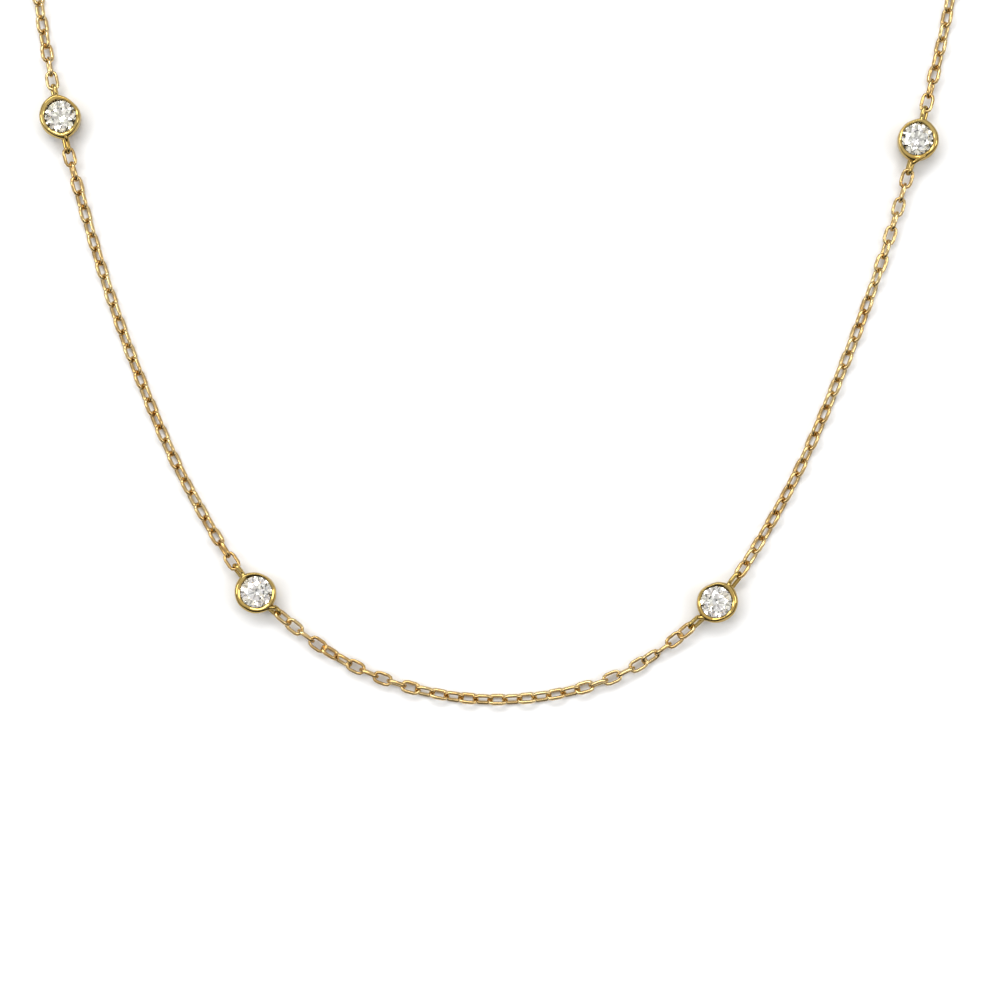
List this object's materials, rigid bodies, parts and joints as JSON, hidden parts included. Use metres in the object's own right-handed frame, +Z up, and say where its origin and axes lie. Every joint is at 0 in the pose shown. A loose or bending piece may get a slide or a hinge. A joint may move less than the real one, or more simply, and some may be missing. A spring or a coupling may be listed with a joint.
{
  "type": "diamond necklace",
  "caption": "Fine gold cable-chain necklace with round diamonds in rubbed-over settings, closed by a spring-ring clasp and lying as a loop.",
  "frame": {"origin": "centre of the loop's outline, on the surface that it lies on", "axes": "+Z up from the surface, +Y from the front stones towards the clasp, +X to the right as seen from above"},
  "size_m": [0.0956, 0.1472, 0.0026],
  "materials": {
    "chain_gold": "polished 18 carat yellow gold",
    "setting_gold": "polished 18 carat yellow gold, burnished by hand",
    "diamond": "polished facets, colourless"
  },
  "bodies": {
    "root": {"setting_1": "setting_gold", "setting_2": "setting_gold", "setting_3": "setting_gold", "setting_4": "setting_gold", "chain_left": "chain_gold", "chain_front": "chain_gold", "chain_right": "chain_gold", "chain_back_left": "chain_gold", "chain_back_right": "chain_gold", "clasp": "chain_gold", "end_ring": "chain_gold", "diamond_1": "diamond", "diamond_2": "diamond", "diamond_3": "diamond", "diamond_4": "diamond"}
  },
  "joints": []
}
